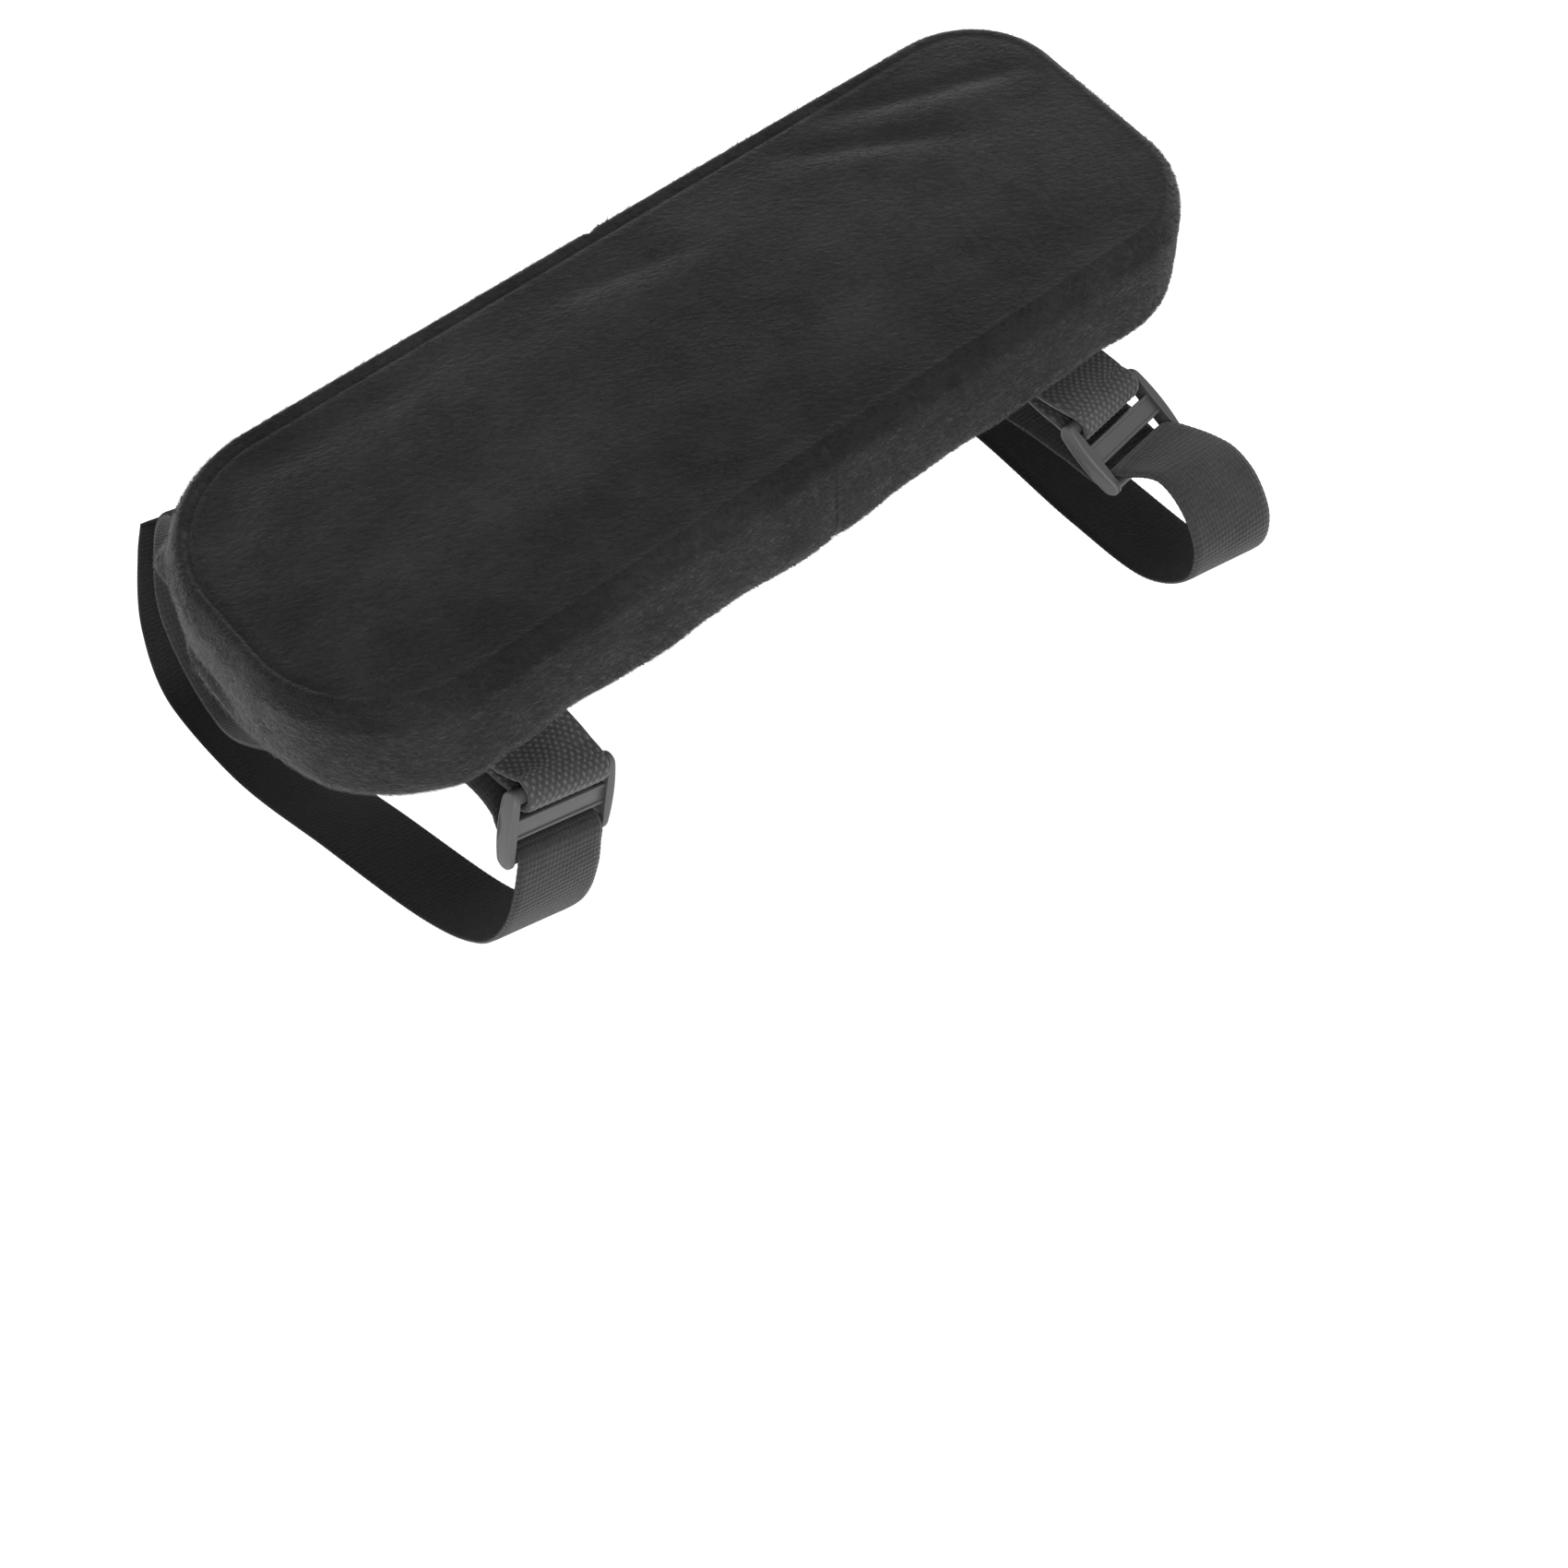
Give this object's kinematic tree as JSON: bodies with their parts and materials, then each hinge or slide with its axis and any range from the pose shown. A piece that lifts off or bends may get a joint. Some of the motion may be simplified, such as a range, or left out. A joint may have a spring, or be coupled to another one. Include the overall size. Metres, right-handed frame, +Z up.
{
  "type": "chair armrest pad",
  "caption": "Long padded armrest cushion in a zipped plush cover with rounded ends, held by webbing straps that run through tri-glide buckles.",
  "frame": {"origin": "centre of the cushion's flat underside, at the face of the grip panel", "axes": "+Z up, out of the cushion's top; +Y along its length, towards the squarer end; +X across it, towards the side with the buckles"},
  "size_m": [0.1746, 0.25, 0.1298],
  "materials": {
    "plush": "short plush pile, matt",
    "base_cloth": "plain woven cloth",
    "foam": "open-cell foam",
    "grip_rubber": "matt, fine grain",
    "zip_cloth": "fine woven tape",
    "zip_teeth": "moulded",
    "zip_metal": "black satin paint",
    "webbing": "woven, slightly fuzzy",
    "buckle_plastic": "moulded, satin",
    "thread": "polyester thread"
  },
  "bodies": {
    "cushion": {"top_panel": "plush", "side_band": "plush", "base_panel": "base_cloth", "foam_core": "foam", "grip_panel": "grip_rubber", "zip_tape_upper": "zip_cloth", "zip_tape_lower": "zip_cloth", "zip_coil_upper": "zip_teeth", "zip_coil_lower": "zip_teeth", "zip_stop_front": "zip_metal", "zip_stop_rear": "zip_metal", "front_tab": "webbing", "front_tab_stitch": "thread", "front_strap_fixed": "webbing", "front_strap_bridge": "webbing", "front_strap_stitch": "thread", "rear_tab": "webbing", "rear_tab_stitch": "thread", "rear_strap_fixed": "webbing", "rear_strap_bridge": "webbing", "rear_strap_stitch": "thread"},
    "zip_slider": {"zip_slider": "zip_metal"},
    "zip_pull": {"zip_pull": "zip_metal"},
    "front_buckle": {"front_buckle": "buckle_plastic"},
    "front_tail": {"front_strap_free": "webbing"},
    "rear_buckle": {"rear_buckle": "buckle_plastic"},
    "rear_tail": {"rear_strap_free": "webbing"}
  },
  "joints": [
    {"name": "zip_slide", "type": "slide", "parent": "cushion", "child": "zip_slider", "axis": [0, -1, 0], "range_m": [0, 0.108]},
    {"name": "zip_pull_flip", "type": "hinge", "parent": "zip_slider", "child": "zip_pull", "pos_m": [-0.0474, 0.055, 0.0185], "axis": [0, 0, -1], "range_deg": [0, 150]},
    {"name": "front_buckle_swing", "type": "hinge", "parent": "cushion", "child": "front_buckle", "pos_m": [0.0465, -0.0779, -0.007], "axis": [0.024, -0.9263, 0.3761], "range_deg": [-8, 3], "stiffness_Nm_per_rad": 0.3, "deforming": ["front_strap_bridge"]},
    {"name": "front_tail_swing", "type": "hinge", "parent": "front_buckle", "child": "front_tail", "pos_m": [0.0498, -0.08387, -0.02191], "axis": [0.024, -0.9263, 0.3761], "range_deg": [-1.5, 12], "stiffness_Nm_per_rad": 0.2},
    {"name": "rear_buckle_swing", "type": "hinge", "parent": "cushion", "child": "rear_buckle", "pos_m": [0.049, 0.0826, -0.0017], "axis": [0.19, -0.9738, 0.125], "range_deg": [-4, 12], "stiffness_Nm_per_rad": 0.3, "deforming": ["rear_strap_bridge"]},
    {"name": "rear_tail_swing", "type": "hinge", "parent": "rear_buckle", "child": "rear_tail", "pos_m": [0.06318, 0.08433, -0.00975], "axis": [0.19, -0.9738, 0.125], "range_deg": [-2, 12], "stiffness_Nm_per_rad": 0.2}
  ]
}
